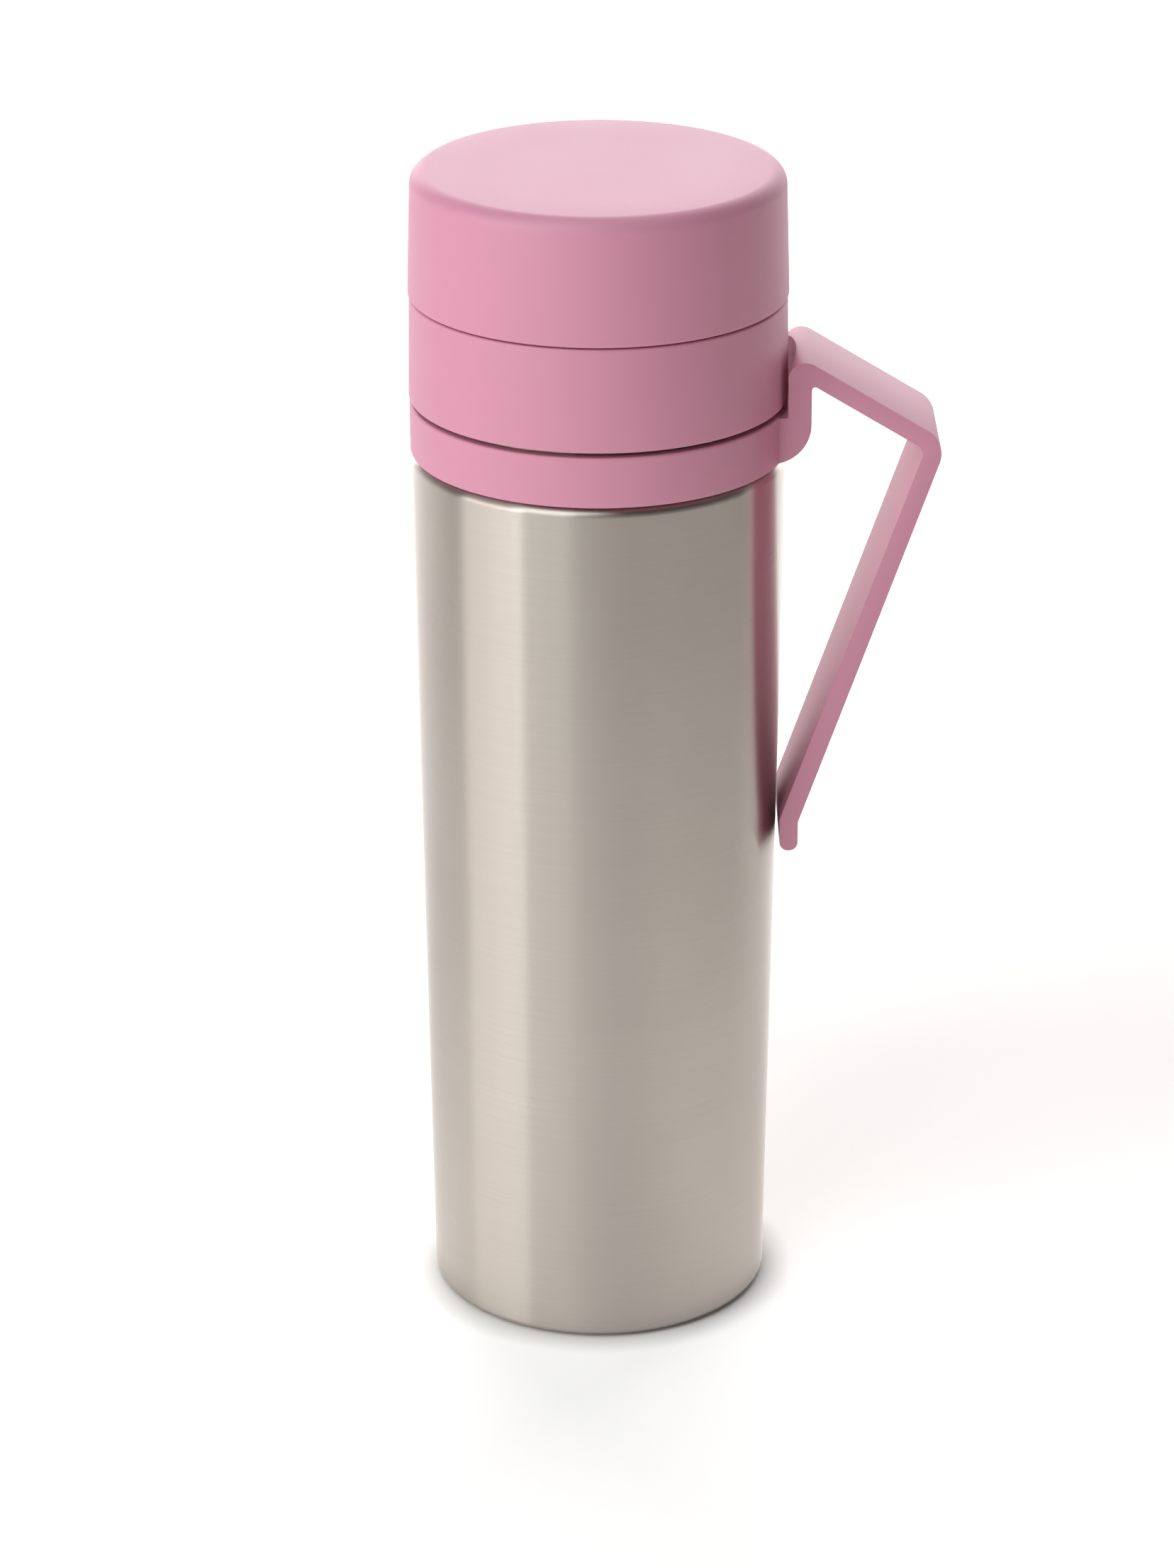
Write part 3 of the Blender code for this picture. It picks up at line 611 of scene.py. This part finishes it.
def build_screen(plastic):
    """Perforated cup. The holes stand on a hexagonal grid."""
    radius, low, high = node_mm("mixing_screen")
    wall = 1.2      # of the side and the floor
    pitch, hole_r, hole_segments, drill_length = 8.2, 2.5, 28, 5 * wall
    rows, columns, field_r = 4, 6, 25.0     # rows and columns each side of the middle, and the holes' reach
    corners = [
        (0, low + wall, 0), (radius - wall, low + wall, 1.0), (radius - wall, high, 0.5),
        (radius, high, 0.5), (radius, low, 0.9), (0, low, 0),
    ]
    screen = lathe("mixing_cup", corners)
    shape = bmesh.new()
    for row in range(-rows, rows + 1):
        for column in range(-columns, columns + 1):
            x, y = pitch * (column + row / 2), pitch * row * math.sqrt(3) / 2
            if math.hypot(x, y) > field_r:
                continue
            bmesh.ops.create_cone(
                shape, cap_ends=True, segments=hole_segments, radius1=mm(hole_r), radius2=mm(hole_r),
                depth=mm(drill_length), matrix=Matrix.Translation((mm(x), mm(y), mm(low + wall / 2))),
            )
    combine(screen, new_object("holes", shape), "DIFFERENCE")
    finish_piece(screen, "screen", "mixing_screen", plastic)


# ---- The cap ----

def build_cap_shell(plastic):
    low_r, low_z, top_z = node_mm("cap_shell")
    taper, wall = 0.75, 1.9
    top_r, ceiling = low_r - taper, top_z - wall
    boss_r, boss_bore, boss_z = 21.4, 19.4, 228.7
    top_rings = [(r, top_z, 0) for r in (12, 24)]       # keep the shading of the flat top even
    corners = [
        (0, top_z, 0), *top_rings, (top_r, top_z, 3.0), (low_r, low_z, 0.45), (low_r - wall, low_z, 0.3),
        (top_r - wall, ceiling, 1.3), (boss_r, ceiling, 0.6), (boss_r, boss_z, 0.3),
        (boss_bore, boss_z, 0.3), (boss_bore, ceiling, 0.6), (0, ceiling, 0),
    ]
    finish_piece(lathe("cap_cover", corners), "cap", "cap_shell", plastic)


def build_cap_liner(plastic):
    sleeve_r, low_z, top_z = node_mm("cap_liner")
    bore_r, seat_z = 19.5, 225.2
    plug_r, plug_wall, plug_z = 15.3, 1.4, 218.6
    corners = [
        (0, plug_z + plug_wall, 0), (plug_r - plug_wall, plug_z + plug_wall, 0.6),
        (plug_r - plug_wall, top_z, 0.2), (sleeve_r, top_z, 0.3), (sleeve_r, low_z, 0.35),
        (bore_r, low_z, 0.35), (bore_r, seat_z, 0.4), (plug_r, seat_z, 0.4), (plug_r, plug_z, 0.8),
        (0, plug_z, 0),
    ]
    liner = lathe("cap_sleeve", corners)
    add_thread(liner, "cap_thread", bore_r)
    finish_piece(liner, "cap", "cap_liner", plastic)


# ---- Studio ----

def floor_glow(n, middle, reach):
    """Distance from a point of the floor, and a round glow that fades out around it as a bell curve."""
    offset = n.add("ShaderNodeVectorMath", {"operation": "SUBTRACT"}, _0=n.place(), _1=middle).outputs[0]
    away = n.add("ShaderNodeVectorMath", {"operation": "LENGTH"}, _0=offset).outputs["Value"]
    share = n.math("DIVIDE", away, reach)
    return away, n.math("EXPONENT", n.math("MULTIPLY", n.math("MULTIPLY", share, share), -0.5))


def floor_material():
    """Pale floor, lit under the object, beside it and far behind it."""
    n = Look("studio_floor", Base_Color=(*FLOOR_TINT, 1.0), Roughness=0.9, Emission_Color=(1, 1, 1, 1))
    away, under = floor_glow(n, (0, 0, 0), FLOOR_GLOW_REACH)
    _, beside = floor_glow(n, POOL_PLACE, POOL_REACH)
    near = n.math("MULTIPLY", under, n.span(away, 0.0, FLOOR_GLOW, *FLOOR_SHADE))
    far = n.span(n.split(n.place())["Y"], 0.0, FAR_GLOW, *FAR_START)
    n.link(n.math("MULTIPLY_ADD", beside, POOL_GLOW, n.math("ADD", near, far)), "Emission Strength")
    return n.material


def softbox(name, azimuth, elevation, distance, width, height, level):
    """A soft light aimed at the object's middle. Its power gives its face the brightness asked for."""
    a, e = math.radians(azimuth), math.radians(elevation)
    back = Vector((math.sin(a) * math.cos(e), -math.cos(a) * math.cos(e), math.sin(e)))
    data = bpy.data.lights.new(name, "AREA")
    data.shape = "RECTANGLE"
    data.size, data.size_y = width, height
    data.color = SOFTBOX_TINT
    data.energy = level * math.pi * width * height
    obj = bpy.data.objects.new(name, data)
    bpy.context.scene.collection.objects.link(obj)
    obj.location = Vector(SOFTBOX_AIM) + back * distance
    obj.rotation_euler = (-back).to_track_quat("-Z", "Y").to_euler()
    obj.visible_camera = False


def world_bands(n, share):
    """The two bands' brightness at a share of a whole turn, as a ramp's red and green."""
    ramp = n.add("ShaderNodeValToRGB", Fac=share)
    elements = ramp.color_ramp.elements
    elements.remove(elements[-1])
    for i, (azimuth, low, high) in enumerate(WORLD_LEVELS):
        position = azimuth / 360 + 0.5
        element = elements[0] if i == 0 else elements.new(position)
        element.position = position
        element.color = (low, high, 0, 1)
    low, high, _ = n.add("ShaderNodeSeparateColor", Color=ramp.outputs[0]).outputs
    return low, high


def build_world():
    """Soft surroundings of bright walls and panels. The camera itself sees plain white."""
    world = bpy.data.worlds.new("studio")
    bpy.context.scene.world = world
    world.use_nodes = True
    world.node_tree.nodes.clear()
    n = Tree(world.node_tree)
    x, y, z = n.split(n.add("ShaderNodeTexCoord").outputs["Generated"])
    angle = n.math("ARCTAN2", x, n.math("MULTIPLY", y, -1.0))
    low, high = world_bands(n, n.math("MULTIPLY_ADD", angle, 1 / math.tau, 0.5))
    rise, top = n.span(z, 0.0, 1.0, *WORLD_LOW), n.span(z, 0.0, 1.0, *WORLD_HIGH)
    band = n.add("ShaderNodeMix", {"data_type": "FLOAT"}, _0=rise, _2=low, _3=high).outputs[0]
    level = n.add("ShaderNodeMix", {"data_type": "FLOAT"}, _0=top, _2=band, _3=WORLD_TOP).outputs[0]
    studio = n.add("ShaderNodeBackground", Color=(1, 1, 1, 1), Strength=level).outputs[0]
    seen = n.add("ShaderNodeBackground", Color=(1, 1, 1, 1), Strength=1.0).outputs[0]
    camera_ray = n.add("ShaderNodeLightPath").outputs["Is Camera Ray"]
    mixed = n.add("ShaderNodeMixShader", _0=camera_ray, _1=studio, _2=seen).outputs[0]
    n.add("ShaderNodeOutputWorld", Surface=mixed)


def build_studio():
    bpy.ops.mesh.primitive_plane_add(size=FLOOR_SIZE)
    floor = bpy.context.object
    floor.name = "floor"
    floor.data.materials.append(floor_material())
    build_world()
    for name, facts in SOFTBOXES.items():
        softbox(name, *facts)
    bpy.context.scene.view_settings.view_transform = "Standard"


def build_camera():
    data = bpy.data.cameras.new("camera")
    data.sensor_width = SENSOR
    data.lens = CAMERA_LENS
    camera = bpy.data.objects.new("camera", data)
    bpy.context.scene.collection.objects.link(camera)
    pan = Matrix.Rotation(math.radians(CAMERA_PAN), 4, "Z")
    tilt = Matrix.Rotation(math.radians(CAMERA_TILT), 4, "X")
    roll = Matrix.Rotation(math.radians(CAMERA_ROLL), 4, "Z")
    camera.matrix_world = Matrix.Translation(CAMERA_PLACE) @ pan @ tilt @ roll
    bpy.context.scene.camera = camera


def dress_inner_nodes(looks):
    """Gives the CAD nodes that stay, all inside the walls, their materials."""
    for node, look in looks.items():
        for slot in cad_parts[node].material_slots:
            slot.material = look


steel = brushed_steel()
inner_steel = liner_steel()
pink = pink_plastic()
ivory = ivory_plastic()
clear = silicone("clear_silicone", roughness=0.5)
charcoal = silicone("charcoal_silicone", roughness=0.62)

dress_inner_nodes({
    "radiation_foil": inner_metal("copper_foil", scale=160.0),
    "vacuum_seal": inner_metal("solder", scale=500.0),
    "getter": inner_metal("getter_alloy", scale=1400.0),
    "base_plate": inner_steel,
    "base_cover": steel,
    "cap_insulation": foam(),
})
build_outer_shell(steel)
build_liner(inner_steel)
build_base_pad(charcoal)
build_handle(pink)
build_lid_skirt(pink)
build_lid_insert(ivory)
build_gasket("neck_washer", "neck_gasket", "neck_seal", 31.0, clear)
build_screen(ivory)
build_cap_shell(pink)
build_cap_liner(ivory)
build_gasket("cap_washer", "cap_gasket", "cap_seal", 15.6, clear)
build_studio()
build_camera()
